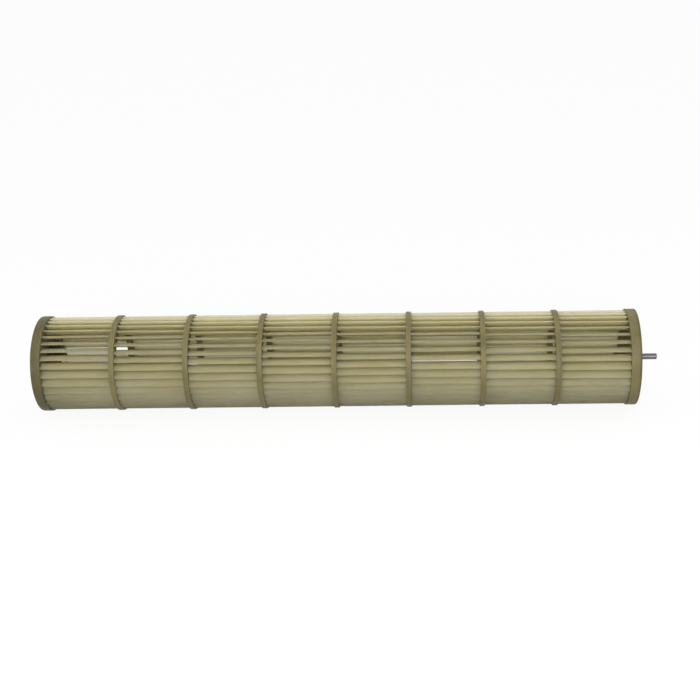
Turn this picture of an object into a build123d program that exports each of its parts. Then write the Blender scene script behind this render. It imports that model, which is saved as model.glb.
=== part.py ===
"""Cross flow fan wheel of a wall-mounted air conditioner, built as it is moulded and welded.

Seven blade sections, each a ring with its blades, and a bearing end section stand in a row and are
welded blade tip to ring. A plain end plate closes the motor end and carries a rubber bush, in which
a metal hub clamps the motor shaft with a set screw. A steel shaft in the bearing end turns in the
bearing. A spring clip on one blade balances the wheel.

Millimetres. +X runs along the axis of rotation from the motor end to the bearing end, +Z is up, and
the origin is the mouth of the hub's bore.
"""

from build123d import *
from math import acos, atan, atan2, cos, degrees, hypot, radians, sin
import os

# Wheel
RING_OUTER_D = 95.0
RING_BORE_D = 70.0
RING_THICK = 5.0
BAY = 67.0  # free length of the blades between two rings
SECTIONS = 7  # blade sections between the two ends
PLATE_INSET = 1.0  # the motor end plate's rim stands this far outside the hub's mouth

# Blades: circular arcs in two flats, radial at the inner edge and leaning forward at the outer one
BLADES = 35
BLADE_OUTER_D = 92.0
BLADE_INNER_D = 73.0
BLADE_EXIT_ANGLE = 27.0  # degrees from the tangent at the outer edge
BLADE_THICK = (1.1, 1.5, 0.8)  # at even steps from the inner to the outer edge
PITCH_SWING = 1.6  # degrees that the uneven spacing moves a blade at most
SECTION_TURN = 23.0  # degrees from one section to the next

# End plates
END_RIM_WALL = 2.5
END_WEB = 2.5
MOTOR_RIM = 9.0
BEARING_RIM = 10.0
EDGE_BREAK = 0.8  # chamfer of the rims' outer edges
RIB_THICK = 1.8
MOTOR_RIB_HEIGHT = 3.5
RIB_CLEARANCE = 1.0  # between the motor end's ribs and the bush
MOTOR_RIBS = 6
BEARING_RIBS = 6

# Rubber bush, gripped by the hole in the motor end plate's web
BUSH_D = 44.0
BUSH_SEAT_D = 38.0
BUSH_LIP = 2.5  # thickness of the bush's outer lip
BUSH_INNER_LIP = 5.0
BUSH_NOSE_D = 27.0
BUSH_NOSE_END = 19.0  # how far from the hub's mouth the nose ends
BUSH_NOTCH = (6.4, 12.0)  # width of the notch over the set screw, and where it begins

# Metal hub and its set screw
HUB_BORE_D = 8.0
HUB_D = 17.0
HUB_LENGTH = 20.0
SCREW_D = 5.0
SCREW_LENGTH = 6.0
SCREW_STANDOFF = 0.3  # the screw's point stays this far outside the bore
SCREW_FROM_END = 5.0
SCREW_KEY = 2.5  # hexagon across flats
SCREW_KEY_DEPTH = 2.5
SCREW_POINT = 0.6

# Bearing shaft and the boss it is moulded into
SHAFT_D = 6.0
SHAFT_KNURL_D = 6.6
SHAFT_FREE = 23.0  # free length beyond the boss
SHAFT_SEAT = 16.5
SHAFT_CHAMFER = 0.6
BOSS_D = 14.0
BOSS_INNER = 9.5  # height over the inner face of the end plate
BOSS_END_INSET = 1.0  # the boss stays this far inside the rim's edge

# Balance clip
CLIP_WIDTH = 7.0
CLIP_SHEET = 0.5
CLIP_GRIP = 0.02  # air between the clip's legs and the blade
CLIP_SECTION = 7
CLIP_BLADE = 2  # which blade of the section carries it
CLIP_FROM_RING = 4.0

ring_r = RING_OUTER_D / 2
inner_r = BLADE_INNER_D / 2
outer_r = BLADE_OUTER_D / 2
section_length = BAY + RING_THICK
plate_face = MOTOR_RIM - PLATE_INSET  # inner face of the motor end plate
end_face = plate_face + SECTIONS * section_length + BAY  # inner face of the bearing end plate
wheel_end = end_face + BEARING_RIM


def blade_angle(index):
    """Angle of a blade about the axis. The spacing swells and shrinks round the ring against tonal noise."""
    even = 360 / BLADES * index
    swing = 0.7 * sin(radians(2 * even)) + 0.3 * sin(radians(5 * even + 40))
    return even + PITCH_SWING * swing


def camber():
    """Radius and sweep in radians of the blade's camber arc."""
    lean = radians(BLADE_EXIT_ANGLE)
    radius = (outer_r**2 - inner_r**2) / (2 * outer_r * cos(lean))
    centre = hypot(inner_r, radius)
    reach = acos((centre**2 + radius**2 - outer_r**2) / (2 * centre * radius))
    return radius, reach - atan(inner_r / radius)


def blade_side(side, gap=0.0, start=0):
    """Points along one face of the blade, from the inner edge to the outer, set off by a gap."""
    radius, sweep = camber()
    steps = len(BLADE_THICK) - 1
    points = []
    for step in range(start, steps + 1):
        t = sweep * step / steps
        off = side * (BLADE_THICK[step] / 2 + gap)
        points.append(
            (
                inner_r + radius * sin(t) - off * sin(t),
                radius * (1 - cos(t)) + off * cos(t),
            )
        )
    return points


def blade(length):
    """One blade as a prism along +X, its inner edge on the +Y side."""
    outline = blade_side(1) + blade_side(-1)[::-1]
    section = Plane.YZ * make_face(Polyline(*outline, close=True))
    return extrude(section, length)


def blades(length, left_out=()):
    """The blades of one section, standing on X = 0."""
    one = blade(length)
    return [Rot(X=blade_angle(i)) * one for i in range(BLADES) if i not in left_out]


def turned(profile):
    """A body of revolution about the X axis from (x, radius) points."""
    return revolve(make_face(Polyline(*profile, close=True)), Axis.X)


def ribs(count, inner, outer, start, height):
    """Radial ribs on an end plate's outer side, as one list."""
    rib = Pos(start + height / 2, (inner + outer) / 2, 0) * Box(height, outer - inner, RIB_THICK)
    return [Rot(X=360 / count * (i + 0.5)) * rib for i in range(count)]


def blade_section(number):
    """A ring with its blades towards the motor end, turned against its neighbours."""
    ring = turned(
        [
            (BAY, RING_BORE_D / 2),
            (BAY, ring_r),
            (section_length, ring_r),
            (section_length, RING_BORE_D / 2),
        ]
    )
    missing = (screw_gap,) if number == 1 else ()
    body = ring + blades(BAY + RING_THICK / 2, missing)
    place = plate_face + (number - 1) * section_length
    return Pos(place, 0, 0) * Rot(X=section_turn(number)) * body


def section_turn(number):
    """How far a section is turned about the axis. The first one puts its missing blade behind the screw."""
    return first_turn + SECTION_TURN * (number - 1)


def motor_end_plate():
    """Dished plate: a rim and a web with a hole for the bush, stiffened by ribs."""
    rim_edge = -PLATE_INSET
    web_outer = plate_face - END_WEB
    plate = turned(
        [
            (plate_face, BUSH_SEAT_D / 2),
            (plate_face, ring_r),
            (rim_edge + EDGE_BREAK, ring_r),
            (rim_edge, ring_r - EDGE_BREAK),
            (rim_edge, ring_r - END_RIM_WALL),
            (web_outer, ring_r - END_RIM_WALL),
            (web_outer, BUSH_SEAT_D / 2),
        ]
    )
    overlap = 0.5
    return plate + ribs(
        MOTOR_RIBS,
        BUSH_D / 2 + RIB_CLEARANCE,
        ring_r - END_RIM_WALL + overlap,
        web_outer - MOTOR_RIB_HEIGHT,
        MOTOR_RIB_HEIGHT + overlap,
    )


def rubber_bush():
    """Bush bonded to the hub: a groove that the web sits in and a nose with a notch over the set screw."""
    web_outer = plate_face - END_WEB
    lip_outer = web_outer - BUSH_LIP
    lip_inner = plate_face + BUSH_INNER_LIP
    bush = turned(
        [
            (lip_outer, HUB_D / 2),
            (lip_outer, BUSH_D / 2),
            (web_outer, BUSH_D / 2),
            (web_outer, BUSH_SEAT_D / 2),
            (plate_face, BUSH_SEAT_D / 2),
            (plate_face, BUSH_D / 2),
            (lip_inner, BUSH_D / 2),
            (lip_inner, BUSH_NOSE_D / 2),
            (BUSH_NOSE_END, BUSH_NOSE_D / 2),
            (BUSH_NOSE_END, HUB_D / 2),
        ]
    )
    width, start = BUSH_NOTCH
    notch = Box(BUSH_NOSE_END - start, BUSH_NOSE_D / 2, width, align=(Align.MIN, Align.MIN, Align.CENTER))
    return bush - Pos(start, HUB_D / 4, 0) * notch


def shaft_hub():
    """Metal hub: a bored barrel with a radial screw hole."""
    barrel = turned(
        [
            (0, HUB_BORE_D / 2),
            (0, HUB_D / 2),
            (HUB_LENGTH, HUB_D / 2),
            (HUB_LENGTH, HUB_BORE_D / 2),
        ]
    )
    hole = Rot(X=90) * Cylinder(SCREW_D / 2, HUB_D / 2)
    return barrel - Pos(HUB_LENGTH - SCREW_FROM_END, HUB_D / 2 - 1, 0) * hole


def set_screw():
    """Socket set screw, its key hexagon facing out along +Y."""
    length = SCREW_LENGTH
    body = revolve(
        make_face(
            Polyline(
                (0, 0),
                (0, SCREW_D / 2 - SCREW_POINT),
                (SCREW_POINT, SCREW_D / 2),
                (length, SCREW_D / 2),
                (length, 0),
                close=True,
            )
        ),
        Axis.X,
    )
    key = Plane.YZ.offset(length - SCREW_KEY_DEPTH) * RegularPolygon(SCREW_KEY / 2, 6, major_radius=False)
    body -= extrude(key, SCREW_KEY_DEPTH)
    tip = HUB_BORE_D / 2 + SCREW_STANDOFF
    return Pos(HUB_LENGTH - SCREW_FROM_END, tip, 0) * Rot(Z=90) * body


def bearing_end_section():
    """End plate with the last bay's blades and the boss for the shaft, moulded as one piece."""
    web_outer = end_face + END_WEB
    boss_end = wheel_end - BOSS_END_INSET
    seat_end = boss_end - SHAFT_SEAT
    plate = turned(
        [
            (end_face - BOSS_INNER, 0),
            (end_face - BOSS_INNER, BOSS_D / 2),
            (end_face, BOSS_D / 2),
            (end_face, ring_r),
            (wheel_end - EDGE_BREAK, ring_r),
            (wheel_end, ring_r - EDGE_BREAK),
            (wheel_end, ring_r - END_RIM_WALL),
            (web_outer, ring_r - END_RIM_WALL),
            (web_outer, BOSS_D / 2),
            (boss_end, BOSS_D / 2),
            (boss_end, SHAFT_KNURL_D / 2),
            (seat_end, SHAFT_KNURL_D / 2),
            (seat_end, 0),
        ]
    )
    overlap = 0.5
    rib_height = boss_end - web_outer - 2
    plate += ribs(
        BEARING_RIBS,
        BOSS_D / 2 - overlap,
        ring_r - END_RIM_WALL + overlap,
        web_outer - overlap,
        rib_height + overlap,
    )
    last = Pos(end_face - BAY, 0, 0) * Rot(X=section_turn(SECTIONS + 1))
    return plate + [last * b for b in blades(BAY + END_WEB / 2)]


def bearing_shaft():
    """Steel shaft: a knurled root in the boss and a ground journal with a chamfered tip."""
    boss_end = wheel_end - BOSS_END_INSET
    tip = boss_end + SHAFT_FREE
    return turned(
        [
            (boss_end - SHAFT_SEAT, 0),
            (boss_end - SHAFT_SEAT, SHAFT_KNURL_D / 2),
            (boss_end, SHAFT_KNURL_D / 2),
            (boss_end, SHAFT_D / 2),
            (tip - SHAFT_CHAMFER, SHAFT_D / 2),
            (tip, SHAFT_D / 2 - SHAFT_CHAMFER),
            (tip, 0),
        ]
    )


def balance_clip():
    """Folded spring clip pushed over the outer edge of one blade, near the section's ring."""
    start = 1  # the legs reach to the blade's inner third
    radius, sweep = camber()

    def fold(gap):
        upper, lower = blade_side(1, gap, start), blade_side(-1, gap, start)
        reach = (gap * cos(sweep), gap * sin(sweep))
        upper[-1] = (upper[-1][0] + reach[0], upper[-1][1] + reach[1])
        lower[-1] = (lower[-1][0] + reach[0], lower[-1][1] + reach[1])
        return upper + lower[::-1]

    section = Plane.YZ * make_face(Polyline(*fold(CLIP_GRIP + CLIP_SHEET), *fold(CLIP_GRIP)[::-1], close=True))
    place = plate_face + CLIP_SECTION * section_length - RING_THICK - CLIP_FROM_RING - CLIP_WIDTH
    turn = section_turn(CLIP_SECTION) + blade_angle(CLIP_BLADE)
    return Pos(place, 0, 0) * Rot(X=turn) * extrude(section, CLIP_WIDTH)


# The first section leaves out one blade, so that a key reaches the set screw from +Y.
screw_gap = 17
radius, sweep = camber()
blade_lead = degrees(atan2(radius * (1 - cos(sweep)), inner_r + radius * sin(sweep)))
first_turn = -blade_angle(screw_gap) - blade_lead / 2


def main():
    os.makedirs("parts", exist_ok=True)
    nodes = {
        "motor_end_plate": motor_end_plate(),
        "rubber_bush": rubber_bush(),
        "shaft_hub": shaft_hub(),
        "hub_set_screw": set_screw(),
        "bearing_end_section": bearing_end_section(),
        "bearing_shaft": bearing_shaft(),
    }
    for number in range(1, SECTIONS + 1):
        nodes[f"blade_section_{number}"] = blade_section(number)
    nodes["balance_clip"] = balance_clip()
    for name, shape in nodes.items():
        export_step(shape, f"parts/{name}.step")


main()
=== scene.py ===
"""Looks of a cross flow fan wheel: moulded blade sections welded in a row between two end plates,
with a rubber-bushed hub at the motor end and a steel shaft at the bearing end.

Metres. +X runs along the axis of rotation from the motor end to the bearing end, and +Z is up.
"""

from math import acos, atan, atan2, cos, degrees, hypot, pi, radians, sin

import bmesh
import bpy
from mathutils import Matrix, Vector


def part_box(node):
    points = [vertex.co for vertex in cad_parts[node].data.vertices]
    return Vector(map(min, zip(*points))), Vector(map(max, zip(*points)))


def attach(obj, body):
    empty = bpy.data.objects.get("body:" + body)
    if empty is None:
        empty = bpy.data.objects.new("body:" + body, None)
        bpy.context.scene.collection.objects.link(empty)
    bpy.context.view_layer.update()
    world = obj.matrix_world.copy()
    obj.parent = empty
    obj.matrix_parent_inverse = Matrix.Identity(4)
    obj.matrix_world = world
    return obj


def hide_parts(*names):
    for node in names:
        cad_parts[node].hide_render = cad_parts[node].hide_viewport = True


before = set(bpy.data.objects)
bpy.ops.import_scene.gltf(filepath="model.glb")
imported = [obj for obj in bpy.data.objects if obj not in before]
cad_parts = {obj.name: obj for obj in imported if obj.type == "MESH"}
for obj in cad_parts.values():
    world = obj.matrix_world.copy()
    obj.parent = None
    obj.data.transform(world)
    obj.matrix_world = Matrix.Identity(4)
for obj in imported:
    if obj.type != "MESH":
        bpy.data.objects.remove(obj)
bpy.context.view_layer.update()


# ---- Wheel plastic -------------------------------------------------------------------------------
# The whole wheel is moulded in a glass-filled styrene plastic, milky and a little translucent, of an
# olive khaki that has yellowed unevenly. The flow of the melt leaves faint streaks along the blades.


def new_material(name):
    """An empty material with its Principled shader and a function that adds a node."""
    material = bpy.data.materials.new(name)
    material.use_nodes = True
    tree = material.node_tree
    shader = tree.nodes["Principled BSDF"]

    def add(kind, inputs=(), **settings):
        node = tree.nodes.new("ShaderNode" + kind)
        for key, value in settings.items():
            setattr(node, key, value)
        for socket, value in dict(inputs).items():
            if isinstance(value, bpy.types.NodeSocket):
                tree.links.new(value, node.inputs[socket])
            else:
                node.inputs[socket].default_value = value
        return node

    def link(output, socket):
        tree.links.new(output, shader.inputs[socket])

    return material, shader, add, link


def noise(add, stretch, scale, detail=4.0, roughness=0.55, shift=(0.0, 0.0, 0.0)):
    """Noise on the piece's own coordinates, stretched along the axes. Its value runs about 0.3 to 0.7."""
    place = add("TexCoord").outputs["Object"]
    spread = add("Mapping", {"Vector": place, "Scale": stretch, "Location": shift})
    inputs = {
        "Vector": spread.outputs["Vector"],
        "Scale": scale,
        "Detail": detail,
        "Roughness": roughness,
    }
    return add("TexNoise", inputs).outputs["Fac"]


def blend_colours(add, factor, colours, low=0.3, high=0.7):
    """Colours spread evenly over a noise's range."""
    ramp = add("ValToRGB", {"Fac": factor})
    ends = ramp.color_ramp.elements
    for step, colour in enumerate(colours):
        at = low + (high - low) * step / (len(colours) - 1)
        stop = ends[step] if step < 2 else ends.new(at)
        stop.position = at
        stop.color = (*colour, 1.0)
    return ramp.outputs["Color"]


def mix_colours(add, factor, first, second, blend="MIX"):
    node = add("Mix", data_type="RGBA", blend_type=blend)
    tree = node.id_data
    for index, value in ((0, factor), (6, first), (7, second)):
        if isinstance(value, bpy.types.NodeSocket):
            tree.links.new(value, node.inputs[index])
        else:
            node.inputs[index].default_value = value
    return node.outputs[2]


def spread_value(add, factor, low, high):
    """A noise's range taken to other limits."""
    inputs = {"Value": factor, "From Min": 0.3, "From Max": 0.7, "To Min": low, "To Max": high}
    return add("MapRange", inputs).outputs["Result"]


def bump(add, height, strength, depth):
    inputs = {"Height": height, "Strength": strength, "Distance": depth}
    return add("Bump", inputs).outputs["Normal"]


def wheel_plastic(name, dark, middle, light, glow):
    """The moulded plastic. Its glow is how far light passes through it, in metres."""
    material, shader, add, link = new_material(name)
    streaks = noise(add, (0.06, 1.0, 1.0), 900.0, detail=3.0)
    mottle = noise(add, (0.5, 1.0, 1.0), 38.0, detail=4.0, shift=(3.1, 0.7, 1.9))
    tone = blend_colours(add, mottle, (dark, middle, light))
    lines = blend_colours(add, streaks, ((0.93, 0.93, 0.90), (1.0, 1.0, 1.0)))
    link(mix_colours(add, 1.0, tone, lines, "MULTIPLY"), "Base Color")
    link(spread_value(add, mottle, 0.44, 0.60), "Roughness")
    link(bump(add, streaks, 0.25, 0.0002), "Normal")
    shader.inputs["Subsurface Weight"].default_value = 1.0
    shader.inputs["Subsurface Radius"].default_value = (1.0, 0.85, 0.5)
    shader.inputs["Subsurface Scale"].default_value = glow
    shader.inputs["Specular IOR Level"].default_value = 0.15
    return material


thin_plastic = wheel_plastic(
    "wheel_plastic", (0.41, 0.33, 0.122), (0.455, 0.37, 0.146), (0.50, 0.41, 0.172), 0.05
)
# The rings get a darker copy of the same plastic: painted shade, because the thick rings let no light
# through where the thin blades glow.
ring_painted_shade_plastic = wheel_plastic(
    "wheel_plastic_ring_painted_shade", (0.162, 0.138, 0.066), (0.19, 0.163, 0.079), (0.218, 0.188, 0.092), 0.005
)
# The end plates get the darkest copy of the same plastic: painted shade, for plates that get less light
# than the blades.
rim_painted_shade_plastic = wheel_plastic(
    "wheel_plastic_rim_painted_shade", (0.107, 0.094, 0.045), (0.127, 0.112, 0.054), (0.148, 0.13, 0.064), 0.003
)


# ---- Blade sections ------------------------------------------------------------------------------
# Each section is one moulding: a ring with its ring of blades towards the motor end. The blades' far
# tips are welded to the next ring. Their spacing is uneven on purpose, so that the fan doesn't howl.

SECTIONS = 7
BLADES = 35
BLADE_INNER = 0.0365  # radius of the blades' inner edges
BLADE_OUTER = 0.046
BLADE_EXIT_ANGLE = 27.0  # degrees from the tangent at the outer edge
BLADE_THICK = (0.0011, 0.0015, 0.0008)  # at the inner edge, the middle and the outer edge
BLADE_STEPS = 8
BLADE_ROUND = 0.00028
ROOT_FLARE = 0.35  # how much thicker the blade grows where it meets its ring
ROOT_LENGTH = 0.0025
RING_BORE = 0.035
RING_THICK = 0.005
RING_ROUND = 0.0005
PITCH_SWING = 1.6  # degrees that the uneven spacing moves a blade at most
SECTION_TURN = 23.0  # degrees from one section to the next
SCREW_GAP = 17  # the first section leaves out this blade, so that a key reaches the set screw
CIRCLE = 128  # faces round a large turned part
SHEET = 0.001  # thickness that a blade has before it is shaped
SAME_PLACE = 1e-7

first_low, first_high = (Vector(corner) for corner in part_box("blade_section_1"))
wheel_radius = first_high.z
section_length = first_high.x - first_low.x
bay = section_length - RING_THICK

camber_radius = (BLADE_OUTER**2 - BLADE_INNER**2) / (2 * BLADE_OUTER * cos(radians(BLADE_EXIT_ANGLE)))
camber_centre = Vector((0, BLADE_INNER, camber_radius))
centre_reach = hypot(BLADE_INNER, camber_radius)
camber_sweep = acos(
    (centre_reach**2 + camber_radius**2 - BLADE_OUTER**2) / (2 * centre_reach * camber_radius)
) - atan(BLADE_INNER / camber_radius)
blade_lead = degrees(
    atan2(
        camber_radius * (1 - cos(camber_sweep)),
        BLADE_INNER + camber_radius * sin(camber_sweep),
    )
)


def blade_angle(index):
    even = 360 / BLADES * index
    swing = 0.7 * sin(radians(2 * even)) + 0.3 * sin(radians(5 * even + 40))
    return even + PITCH_SWING * swing


def section_turn(number):
    return -blade_angle(SCREW_GAP) - blade_lead / 2 + SECTION_TURN * (number - 1)


def round_edges(bm, radius, segments=2, sharper_than=50.0):
    """Round every edge that turns by more than an angle."""
    edges = [e for e in bm.edges if e.is_manifold and e.calc_face_angle() > radians(sharper_than)]
    bmesh.ops.bevel(
        bm,
        geom=edges,
        offset=radius,
        segments=segments,
        profile=0.5,
        affect="EDGES",
        material=-1,
        clamp_overlap=True,
    )


def turned(outline, steps=CIRCLE):
    """A closed turned shell about the X axis from (x, radius) points."""
    bm = bmesh.new()
    corners = [bm.verts.new((x, 0, r)) for x, r in outline]
    for start, end in zip(corners, corners[1:] + corners[:1]):
        if start.co.z > 0 or end.co.z > 0:
            bm.edges.new((start, end))
    bmesh.ops.spin(
        bm,
        geom=bm.verts[:] + bm.edges[:],
        cent=(0, 0, 0),
        axis=(1, 0, 0),
        angle=2 * pi,
        steps=steps,
        use_merge=True,
    )
    bmesh.ops.remove_doubles(bm, verts=bm.verts[:], dist=1e-6)
    bmesh.ops.recalc_face_normals(bm, faces=bm.faces[:])
    return bm


def add_shell(whole, shell, material=0):
    """Move one shell into another and give it one of the piece's materials."""
    for face in shell.faces:
        face.material_index = material
    scrap = bpy.data.meshes.new("shell")
    shell.to_mesh(scrap)
    shell.free()
    whole.from_mesh(scrap)
    bpy.data.meshes.remove(scrap)


def piece(name, bm, materials, stands_for, sharper_than=35.0):
    """The finished piece: its mesh, materials, and the CAD node that it stands for."""
    mesh = bpy.data.meshes.new(name)
    bm.to_mesh(mesh)
    bm.free()
    mesh.shade_smooth()
    mesh.set_sharp_from_angle(angle=radians(sharper_than))
    for material in materials:
        mesh.materials.append(material)
    obj = bpy.data.objects.new(name, mesh)
    bpy.context.scene.collection.objects.link(obj)
    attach(obj, "root")
    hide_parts(stands_for)
    return obj


def blade_thickness(along):
    """Thickness of the blade from its inner edge, at 0, to its outer edge, at 1."""
    inner, middle, outer = BLADE_THICK
    rise = 4 * middle - 3 * inner - outer
    fall = 2 * inner + 2 * outer - 4 * middle
    return inner + rise * along + fall * along**2


def blade(length, root=0.0):
    """One blade along +X from X = 0, curved to its camber and thicker at its root."""
    bm = bmesh.new()
    start = bm.verts.new((0, BLADE_INNER, 0))
    bmesh.ops.spin(
        bm,
        geom=[start],
        cent=camber_centre,
        axis=(1, 0, 0),
        angle=camber_sweep,
        steps=BLADE_STEPS,
    )
    for reach in (length - root - ROOT_LENGTH, ROOT_LENGTH + root):
        ends = [e for e in bm.edges if abs(e.verts[0].co.x - e.verts[1].co.x) < SAME_PLACE]
        last = max(e.verts[0].co.x for e in ends)
        ends = [e for e in ends if abs(e.verts[0].co.x - last) < SAME_PLACE]
        grown = bmesh.ops.extrude_edge_only(bm, edges=ends)["geom"]
        moved = [v for v in grown if isinstance(v, bmesh.types.BMVert)]
        bmesh.ops.translate(bm, verts=moved, vec=(reach, 0, 0))
    bmesh.ops.recalc_face_normals(bm, faces=bm.faces[:])
    bmesh.ops.solidify(bm, geom=bm.faces[:], thickness=SHEET)
    offsets = [(v.co.yz - camber_centre.yz).length - camber_radius for v in bm.verts]
    middle = (min(offsets) + max(offsets)) / 2
    for vert, offset in zip(bm.verts, offsets):
        arm = vert.co.yz - camber_centre.yz
        along = atan2(arm.x, -arm.y) / camber_sweep
        flare = 1 + ROOT_FLARE * max(0.0, 1 - (length - root - vert.co.x) / ROOT_LENGTH)
        flare = min(flare, 1 + ROOT_FLARE)
        side = (offset - middle) / SHEET
        arm = arm.normalized() * (camber_radius + side * blade_thickness(along) * flare)
        vert.co.yz = camber_centre.yz + arm
    bmesh.ops.recalc_face_normals(bm, faces=bm.faces[:])
    round_edges(bm, BLADE_ROUND)
    return bm


def blade_cage(length, root, turn, left_out=()):
    """All the blades of one section, spread round the axis."""
    bm = blade(length, root)
    first = bm.verts[:] + bm.edges[:] + bm.faces[:]
    for index in range(BLADES):
        if index in left_out:
            continue
        copy = bmesh.ops.duplicate(bm, geom=first)["geom"]
        bmesh.ops.rotate(
            bm,
            verts=[v for v in copy if isinstance(v, bmesh.types.BMVert)],
            cent=(0, 0, 0),
            matrix=Matrix.Rotation(radians(turn + blade_angle(index)), 3, "X"),
        )
    bmesh.ops.delete(bm, geom=first, context="VERTS")
    return bm


for number in range(1, SECTIONS + 1):
    node = f"blade_section_{number}"
    section_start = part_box(node)[0][0]
    missing = (SCREW_GAP,) if number == 1 else ()
    section = bmesh.new()
    cage = blade_cage(bay + RING_THICK / 2, RING_THICK / 2, section_turn(number), missing)
    add_shell(section, cage)
    ring = turned(
        [
            (bay, RING_BORE),
            (bay, wheel_radius),
            (section_length, wheel_radius),
            (section_length, RING_BORE),
        ]
    )
    round_edges(ring, RING_ROUND)
    # The ring takes the second material, the darker copy of the plastic: painted shade.
    add_shell(section, ring, 1)
    bmesh.ops.translate(section, verts=section.verts[:], vec=(section_start, 0, 0))
    piece(f"section_{number}", section, (thin_plastic, ring_painted_shade_plastic), node)


# ---- Bearing end ---------------------------------------------------------------------------------
# The last moulding is the end plate with the last bay's blades and a boss for the shaft. The plate
# is dished to the outside, and ribs run from the boss to the rim. The rim's outer face has the rings'
# painted shade up to its last two millimetres. The rest of the plate has the motor plate's darker
# painted shade, which on the rim's last two millimetres stands for the dark line at the flange's end.

RIM_WALL = 0.0025
WEB_THICK = 0.0025
BEARING_RIM = 0.010
RIM_ROUND = 0.0007
BOSS_RADIUS = 0.007
BOSS_INNER = 0.0095  # how far the boss stands over the plate's inner face
BOSS_INSET = 0.001
SHAFT_ROOT_RADIUS = 0.0033
SHAFT_SEAT = 0.0165
RIB_THICK = 0.0018
RIBS = 6
RIB_ROUND = 0.0004
RIB_STEP = 0.002  # the bearing end's ribs stay this far below the boss
PAINTED_SHADE_END = 0.002  # length of the rim's end painted darker: painted shade for the dark line at the flange's end, with no form behind it
RIB_IN_BOSS = RIM_WALL / 4  # how far a rib runs into the boss
RIB_FROM_EDGE = RIM_WALL * 0.8  # how far a rib's end stays below the rim's surface

bearing_low, bearing_high = (Vector(corner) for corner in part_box("bearing_end_section"))
end_face = bearing_high.x - BEARING_RIM
boss_end = bearing_high.x - BOSS_INSET


def rib(start, height, inner, outer, turn):
    """A radial rib: a rounded bar that starts at an X and runs between two radii."""
    bm = bmesh.new()
    bmesh.ops.create_cube(bm, size=1.0)
    bmesh.ops.scale(bm, verts=bm.verts[:], vec=(height, outer - inner, RIB_THICK))
    bmesh.ops.translate(bm, verts=bm.verts[:], vec=(start + height / 2, (inner + outer) / 2, 0))
    round_edges(bm, RIB_ROUND)
    bmesh.ops.rotate(
        bm,
        verts=bm.verts[:],
        cent=(0, 0, 0),
        matrix=Matrix.Rotation(radians(turn), 3, "X"),
    )
    return bm


bearing_end = bmesh.new()
last_cage = blade_cage(bay + WEB_THICK / 2, WEB_THICK / 2, section_turn(SECTIONS + 1))
bmesh.ops.translate(last_cage, verts=last_cage.verts[:], vec=(bearing_low.x, 0, 0))
add_shell(bearing_end, last_cage)
dish = turned(
    [
        (end_face - BOSS_INNER, 0),
        (end_face - BOSS_INNER, BOSS_RADIUS),
        (end_face, BOSS_RADIUS),
        (end_face, wheel_radius),
        (bearing_high.x - PAINTED_SHADE_END, wheel_radius),
        (bearing_high.x, wheel_radius),
        (bearing_high.x, wheel_radius - RIM_WALL),
        (end_face + WEB_THICK, wheel_radius - RIM_WALL),
        (end_face + WEB_THICK, BOSS_RADIUS),
        (boss_end, BOSS_RADIUS),
        (boss_end, SHAFT_ROOT_RADIUS),
        (boss_end - SHAFT_SEAT, SHAFT_ROOT_RADIUS),
        (boss_end - SHAFT_SEAT, 0),
    ]
)
round_edges(dish, RIM_ROUND)
add_shell(bearing_end, dish, 1)
# The rim's outer face, short of its last two millimetres, takes the rings' painted shade. The rest of the
# plate keeps the darker painted shade.
for face in bearing_end.faces:
    centre = face.calc_center_median()
    along_rim = end_face < centre.x < bearing_high.x - PAINTED_SHADE_END
    if along_rim and centre.yz.length > wheel_radius - RIM_ROUND:
        face.material_index = 2
for index in range(RIBS):
    bar = rib(
        end_face + WEB_THICK / 2,
        boss_end - RIB_STEP - end_face - WEB_THICK / 2,
        BOSS_RADIUS - RIB_IN_BOSS,
        wheel_radius - RIB_FROM_EDGE,
        360 / RIBS * (index + 0.5),
    )
    add_shell(bearing_end, bar, 1)
end_plastics = (thin_plastic, rim_painted_shade_plastic, ring_painted_shade_plastic)
piece("bearing_end", bearing_end, end_plastics, "bearing_end_section")


# ---- Motor end plate -----------------------------------------------------------------------------
# A dished plate welded to the first section's blade tips. Its web has a hole whose edge sits in the
# rubber bush's groove, and short ribs stiffen it.

BUSH_SEAT = 0.019
BUSH_RADIUS = 0.022
MOTOR_RIB_HEIGHT = 0.0035
RIB_CLEARANCE = 0.001

plate_low, plate_high = (Vector(corner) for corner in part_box("motor_end_plate"))
web_outer = plate_high.x - WEB_THICK

motor_plate = bmesh.new()
dish = turned(
    [
        (plate_high.x, BUSH_SEAT),
        (plate_high.x, wheel_radius),
        (plate_low.x, wheel_radius),
        (plate_low.x, wheel_radius - RIM_WALL),
        (web_outer, wheel_radius - RIM_WALL),
        (web_outer, BUSH_SEAT),
    ]
)
round_edges(dish, RIM_ROUND)
add_shell(motor_plate, dish)
for index in range(RIBS):
    bar = rib(
        web_outer - MOTOR_RIB_HEIGHT,
        MOTOR_RIB_HEIGHT + WEB_THICK / 2,
        BUSH_RADIUS + RIB_CLEARANCE,
        wheel_radius - RIB_FROM_EDGE,
        360 / RIBS * (index + 0.5),
    )
    add_shell(motor_plate, bar)
# The motor plate takes the darkest copy of the plastic: painted shade.
piece("motor_plate", motor_plate, (rim_painted_shade_plastic,), "motor_end_plate")


# ---- Rubber bush ---------------------------------------------------------------------------------
# A black rubber bush keeps the motor's hum out of the wheel. A groove round it holds the plate's
# web, and its nose covers the hub up to the set screw, where a notch lets the key in.

BUSH_LIP = 0.0025
BUSH_INNER_LIP = 0.005
NOSE_RADIUS = 0.0135
NOSE_END = 0.019
HUB_RADIUS = 0.0085
NOTCH_WIDTH = 0.0064
NOTCH_START = 0.012
RUBBER_ROUND = 0.0006
BUSH_FACES = 96


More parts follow.
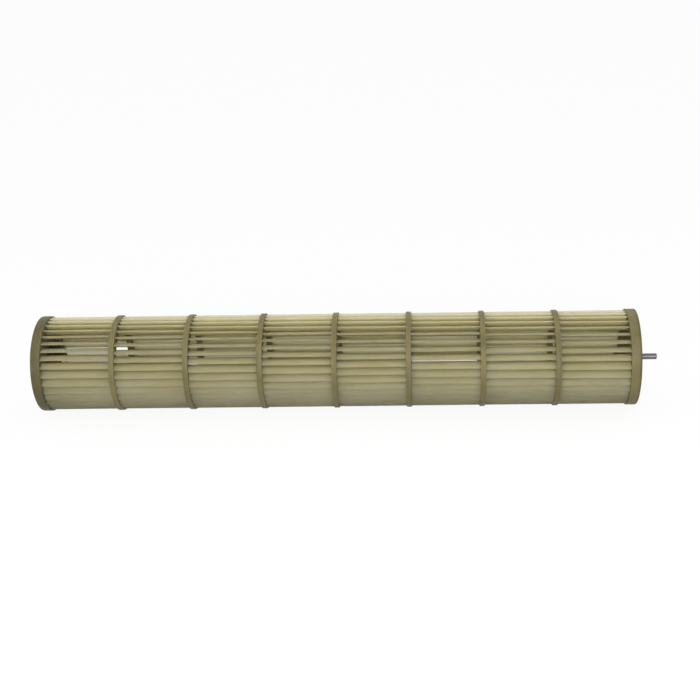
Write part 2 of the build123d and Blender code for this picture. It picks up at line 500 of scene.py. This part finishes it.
def bush_rubber():
    material, shader, add, link = new_material("bush_rubber")
    dust = noise(add, (1.0, 1.0, 1.0), 160.0, detail=6.0)
    grain = noise(add, (1.0, 1.0, 1.0), 2600.0, detail=2.0, shift=(0.4, 1.3, 2.2))
    link(
        blend_colours(add, dust, ((0.010, 0.0095, 0.0085), (0.016, 0.015, 0.013), (0.034, 0.032, 0.027))),
        "Base Color",
    )
    link(spread_value(add, dust, 0.62, 0.82), "Roughness")
    link(bump(add, grain, 0.3, 0.0001), "Normal")
    shader.inputs["Specular IOR Level"].default_value = 0.35
    return material


def part_ring(outline, gap, turn):
    """A closed outline swept round the X axis, apart from a gap in degrees."""
    bm = bmesh.new()
    corners = [bm.verts.new((x, 0, r)) for x, r in outline]
    bm.faces.new(corners)
    bmesh.ops.rotate(
        bm,
        verts=bm.verts[:],
        cent=(0, 0, 0),
        matrix=Matrix.Rotation(radians(turn + gap / 2), 3, "X"),
    )
    bmesh.ops.spin(
        bm,
        geom=bm.verts[:] + bm.edges[:] + bm.faces[:],
        cent=(0, 0, 0),
        axis=(1, 0, 0),
        angle=radians(360 - gap),
        steps=CIRCLE // 2,
    )
    bmesh.ops.recalc_face_normals(bm, faces=bm.faces[:])
    return bm


bush = turned(
    [
        (web_outer - BUSH_LIP, HUB_RADIUS),
        (web_outer - BUSH_LIP, BUSH_RADIUS),
        (web_outer, BUSH_RADIUS),
        (web_outer, BUSH_SEAT),
        (plate_high.x, BUSH_SEAT),
        (plate_high.x, BUSH_RADIUS),
        (plate_high.x + BUSH_INNER_LIP, BUSH_RADIUS),
        (plate_high.x + BUSH_INNER_LIP, HUB_RADIUS),
    ],
    BUSH_FACES,
)
round_edges(bush, RUBBER_ROUND)
notch_angle = degrees(2 * atan(NOTCH_WIDTH / 2 / NOSE_RADIUS))
nose = part_ring(
    [
        (NOTCH_START, HUB_RADIUS),
        (NOTCH_START, NOSE_RADIUS),
        (NOSE_END, NOSE_RADIUS),
        (NOSE_END, HUB_RADIUS),
    ],
    notch_angle,
    -90,
)
round_edges(nose, RUBBER_ROUND)
add_shell(bush, nose)
piece("bush", bush, (bush_rubber(),), "rubber_bush")


# ---- Hub and set screw ---------------------------------------------------------------------------
# A die-cast hub with a reamed bore takes the motor shaft. A black socket set screw clamps the shaft
# from the side, through a tapped hole that the missing blade leaves open to the key.

HUB_BORE = 0.004
HUB_ROUND = 0.0004
HUB_FACES = 64
SCREW_FACES = 24
SCREW_RADIUS = 0.0025
SCREW_KEY = 0.0025  # hexagon across flats
SCREW_KEY_DEPTH = 0.0025
SCREW_ROUND = 0.0003

hub_low, hub_high = (Vector(corner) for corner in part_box("shaft_hub"))
screw_low, screw_high = (Vector(corner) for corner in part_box("hub_set_screw"))


def bare_metal(name, colour, light, roughness, grain, depth):
    """Metal with a grain: colour, roughness range, and the stretch, scale and depth of its grain."""
    material, shader, add, link = new_material(name)
    stretch, scale = grain
    lines = noise(add, stretch, scale, detail=3.0)
    cloud = noise(add, (1.0, 1.0, 1.0), 210.0, detail=4.0, shift=(1.0, 2.0, 0.5))
    link(blend_colours(add, cloud, (colour, light)), "Base Color")
    link(spread_value(add, lines, *roughness), "Roughness")
    link(bump(add, lines, 0.3, depth), "Normal")
    shader.inputs["Metallic"].default_value = 1.0
    return material


hub_metal = bare_metal(
    "hub_metal", (0.50, 0.49, 0.47), (0.62, 0.61, 0.59), (0.38, 0.55), ((1.0, 1.0, 1.0), 900.0), 0.0001
)
screw_steel = bare_metal(
    "screw_steel",
    (0.030, 0.028, 0.027),
    (0.055, 0.052, 0.05),
    (0.30, 0.45),
    ((1.0, 1.0, 1.0), 1500.0),
    0.00005,
)

hub = turned(
    [
        (hub_low.x, HUB_BORE),
        (hub_low.x, HUB_RADIUS),
        (hub_high.x, HUB_RADIUS),
        (hub_high.x, HUB_BORE),
    ],
    HUB_FACES,
)
round_edges(hub, HUB_ROUND)
piece("hub", hub, (hub_metal,), "shaft_hub")

screw = bmesh.new()
screw_length = screw_high.y - screw_low.y
bmesh.ops.create_circle(screw, cap_ends=True, radius=SCREW_KEY / 2 / cos(radians(30)), segments=6)
socket_face = next(iter(screw.faces))
socket_rim = screw.edges[:]
outer = bmesh.ops.create_circle(
    screw, cap_ends=False, radius=SCREW_RADIUS, segments=SCREW_FACES
)["verts"]
rim_edges = [e for e in screw.edges if e.verts[0] in outer and e.verts[1] in outer]
bmesh.ops.bridge_loops(screw, edges=socket_rim + rim_edges)
sunk = bmesh.ops.extrude_discrete_faces(screw, faces=[socket_face])["faces"]
bmesh.ops.translate(screw, verts=sunk[0].verts[:], vec=(0, 0, -SCREW_KEY_DEPTH))
rim_edges = [e for e in screw.edges if e.is_boundary]
grown = bmesh.ops.extrude_edge_only(screw, edges=rim_edges)["geom"]
low_rim = [g for g in grown if isinstance(g, bmesh.types.BMVert)]
bmesh.ops.translate(screw, verts=low_rim, vec=(0, 0, -screw_length))
bmesh.ops.contextual_create(screw, geom=low_rim)
bmesh.ops.recalc_face_normals(screw, faces=screw.faces[:])
round_edges(screw, SCREW_ROUND, segments=1, sharper_than=80.0)
bmesh.ops.rotate(screw, verts=screw.verts[:], cent=(0, 0, 0), matrix=Matrix.Rotation(-pi / 2, 3, "X"))
bmesh.ops.translate(
    screw,
    verts=screw.verts[:],
    vec=((screw_low.x + screw_high.x) / 2, screw_high.y, 0),
)
piece("set_screw", screw, (screw_steel,), "hub_set_screw")


# ---- Bearing shaft -------------------------------------------------------------------------------
# A ground steel pin, moulded into the boss. Its tip is chamfered and keeps the centre drill's mark.

SHAFT_RADIUS = 0.003
SHAFT_CHAMFER = 0.0006
CENTRE_MARK = 0.0008
SHAFT_FACES = 48

shaft_low, shaft_high = (Vector(corner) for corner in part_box("bearing_shaft"))
shaft_steel = bare_metal(
    "shaft_steel",
    (0.11, 0.11, 0.105),
    (0.18, 0.18, 0.175),
    (0.22, 0.36),
    ((1.0, 0.12, 0.12), 5200.0),
    0.00003,
)
shaft = turned(
    [
        (shaft_low.x, 0),
        (shaft_low.x, SHAFT_ROOT_RADIUS),
        (boss_end, SHAFT_ROOT_RADIUS),
        (boss_end, SHAFT_RADIUS),
        (shaft_high.x - SHAFT_CHAMFER, SHAFT_RADIUS),
        (shaft_high.x, SHAFT_RADIUS - SHAFT_CHAMFER),
        (shaft_high.x, CENTRE_MARK),
        (shaft_high.x - CENTRE_MARK, 0),
    ],
    SHAFT_FACES,
)
piece("shaft", shaft, (shaft_steel,), "bearing_shaft")


# ---- Balance clip --------------------------------------------------------------------------------
# A folded strip of zinc-plated spring steel, pushed over the outer edge of one blade after the
# wheel has been spun on a balancing machine.

CLIP_SHEET = 0.0005
CLIP_GRIP = 0.00002
CLIP_SECTION = 7
CLIP_BLADE = 2
CLIP_STEPS = 6

clip_low, clip_high = (Vector(corner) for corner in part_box("balance_clip"))
clip_steel = bare_metal(
    "clip_steel", (0.52, 0.52, 0.51), (0.64, 0.64, 0.62), (0.28, 0.42), ((0.1, 1.0, 1.0), 2400.0), 0.00004
)

clip = bmesh.new()
legs = []
for side in (1, -1):
    chain = []
    for step in range(CLIP_STEPS + 1):
        along = 0.5 + 0.5 * step / CLIP_STEPS
        off = side * (blade_thickness(along) / 2 + CLIP_GRIP + CLIP_SHEET / 2)
        turn = camber_sweep * along
        reach = camber_radius - off
        at = (0, BLADE_INNER + reach * sin(turn), camber_radius - reach * cos(turn))
        chain.append(clip.verts.new(at))
    for start, end in zip(chain, chain[1:]):
        clip.edges.new((start, end))
    legs.append(chain)
fold_centre = (legs[0][-1].co + legs[1][-1].co) / 2
bmesh.ops.spin(
    clip,
    geom=[legs[0][-1]],
    cent=fold_centre,
    axis=(1, 0, 0),
    angle=-pi,
    steps=CLIP_STEPS,
)
bmesh.ops.remove_doubles(clip, verts=clip.verts[:], dist=2e-5)
grown = bmesh.ops.extrude_edge_only(clip, edges=clip.edges[:])["geom"]
moved = [g for g in grown if isinstance(g, bmesh.types.BMVert)]
bmesh.ops.translate(clip, verts=moved, vec=(clip_high.x - clip_low.x, 0, 0))
bmesh.ops.recalc_face_normals(clip, faces=clip.faces[:])
bmesh.ops.solidify(clip, geom=clip.faces[:], thickness=CLIP_SHEET)
bmesh.ops.rotate(
    clip,
    verts=clip.verts[:],
    cent=(0, 0, 0),
    matrix=Matrix.Rotation(radians(section_turn(CLIP_SECTION) + blade_angle(CLIP_BLADE)), 3, "X"),
)
bmesh.ops.translate(clip, verts=clip.verts[:], vec=(clip_low.x, 0, 0))
piece("clip", clip, (clip_steel,), "balance_clip")


# ---- Floor, light and camera ---------------------------------------------------------------------
# The wheel lies on a white table in a light tent, a little brighter behind it than in front. One soft
# lamp shines on it from behind the camera. The camera sees the table and the tent as near white.

FLOOR_SIZE = 30.0
LIGHT_FRONT = 0.65
LIGHT_BACK = 0.85
LAMP_RISE = 18.0  # degrees above the wheel's axis
LAMP_REACH = 1.8
LAMP_X = 0.38
LAMP_SIZE = (0.6, 0.5)
LAMP_WATTS = 28.0
LAMP_AIM = Vector((0.36, 0, 0))
FLOOR_GREY = 0.35  # what the table gives back to the wheel
FLOOR_GLOW = 0.9  # share of the white that the camera sees without shadow
CAMERA_RISE = 19.9  # degrees above the wheel's axis
CAMERA_REACH = 1.218
CAMERA_X = 0.382
CAMERA_LENS = 62.77
CAMERA_YAW = 1.715  # degrees, as the next two
CAMERA_PITCH = 0.448
CAMERA_ROLL = 1.26
CAMERA_SHIFT = -0.0586


def seen_directly(tree):
    """One for rays from the camera, also by way of gloss or glass, and nought for others."""
    path = tree.nodes.new("ShaderNodeLightPath")
    total = path.outputs["Is Camera Ray"]
    for name in ("Is Glossy Ray", "Is Transmission Ray"):
        node = tree.nodes.new("ShaderNodeMath")
        node.operation = "MAXIMUM"
        tree.links.new(total, node.inputs[0])
        tree.links.new(path.outputs[name], node.inputs[1])
        total = node.outputs[0]
    return total


world = bpy.data.worlds.new("studio")
bpy.context.scene.world = world
world.use_nodes = True
sky_tree = world.node_tree
sky = sky_tree.nodes["Background"]
sky.inputs["Color"].default_value = (1.0, 1.0, 1.0, 1.0)
strength = sky_tree.nodes.new("ShaderNodeMapRange")
strength.inputs["To Max"].default_value = 1.0
way = sky_tree.nodes.new("ShaderNodeTexCoord")
ways = sky_tree.nodes.new("ShaderNodeSeparateXYZ")
depth = sky_tree.nodes.new("ShaderNodeMapRange")
depth.inputs["From Min"].default_value = -1.0
depth.inputs["To Min"].default_value = LIGHT_FRONT
depth.inputs["To Max"].default_value = LIGHT_BACK
sky_tree.links.new(way.outputs["Generated"], ways.inputs["Vector"])
sky_tree.links.new(ways.outputs["Y"], depth.inputs["Value"])
sky_tree.links.new(depth.outputs["Result"], strength.inputs["To Min"])
sky_tree.links.new(seen_directly(sky_tree), strength.inputs["Value"])
sky_tree.links.new(strength.outputs["Result"], sky.inputs["Strength"])

floor_bm = bmesh.new()
bmesh.ops.create_grid(floor_bm, x_segments=1, y_segments=1, size=FLOOR_SIZE / 2)
bmesh.ops.translate(floor_bm, verts=floor_bm.verts[:], vec=(0, 0, -wheel_radius))
floor_mesh = bpy.data.meshes.new("floor")
floor_bm.to_mesh(floor_mesh)
floor_bm.free()
floor = bpy.data.objects.new("floor", floor_mesh)
bpy.context.scene.collection.objects.link(floor)

floor_paint, floor_shader, add, link = new_material("floor_white")
floor_shader.inputs["Roughness"].default_value = 0.9
floor_shader.inputs["Specular IOR Level"].default_value = 0.0
glow = add("Emission", {"Color": (1.0, 1.0, 1.0, 1.0), "Strength": 1.0})
tree = floor_paint.node_tree
seen = seen_directly(tree)
grey = add("MapRange", {"Value": seen, "To Min": FLOOR_GREY, "To Max": 1.0})
link(grey.outputs["Result"], "Base Color")
share = add("Math", {0: seen, 1: FLOOR_GLOW}, operation="MULTIPLY")
mixed = add("MixShader", {0: share.outputs[0], 1: floor_shader.outputs[0], 2: glow.outputs[0]})
tree.links.new(mixed.outputs[0], tree.nodes["Material Output"].inputs["Surface"])
floor_mesh.materials.append(floor_paint)

lamp = bpy.data.lights.new("softbox", "AREA")
lamp.shape = "RECTANGLE"
lamp.size, lamp.size_y = LAMP_SIZE
lamp.energy = LAMP_WATTS
lamp_rise = radians(LAMP_RISE)
lamp_at = Vector((LAMP_X, -LAMP_REACH * cos(lamp_rise), LAMP_REACH * sin(lamp_rise)))
softbox = bpy.data.objects.new("softbox", lamp)
softbox.location = lamp_at
softbox.rotation_euler = (LAMP_AIM - lamp_at).to_track_quat("-Z", "Y").to_euler()
bpy.context.scene.collection.objects.link(softbox)

rise = radians(CAMERA_RISE)
camera_data = bpy.data.cameras.new("camera")
camera_data.lens = CAMERA_LENS
camera_data.shift_x = CAMERA_SHIFT
camera = bpy.data.objects.new("camera", camera_data)
place = Matrix.Translation((CAMERA_X, -CAMERA_REACH * cos(rise), CAMERA_REACH * sin(rise)))
yaw = Matrix.Rotation(radians(CAMERA_YAW), 4, "Z")
level = Matrix.Rotation(pi / 2 - rise + radians(CAMERA_PITCH), 4, "X")
roll = Matrix.Rotation(radians(-CAMERA_ROLL), 4, "Z")
camera.matrix_world = place @ yaw @ level @ roll
bpy.context.scene.collection.objects.link(camera)
bpy.context.scene.camera = camera
bpy.context.scene.view_settings.view_transform = "Standard"
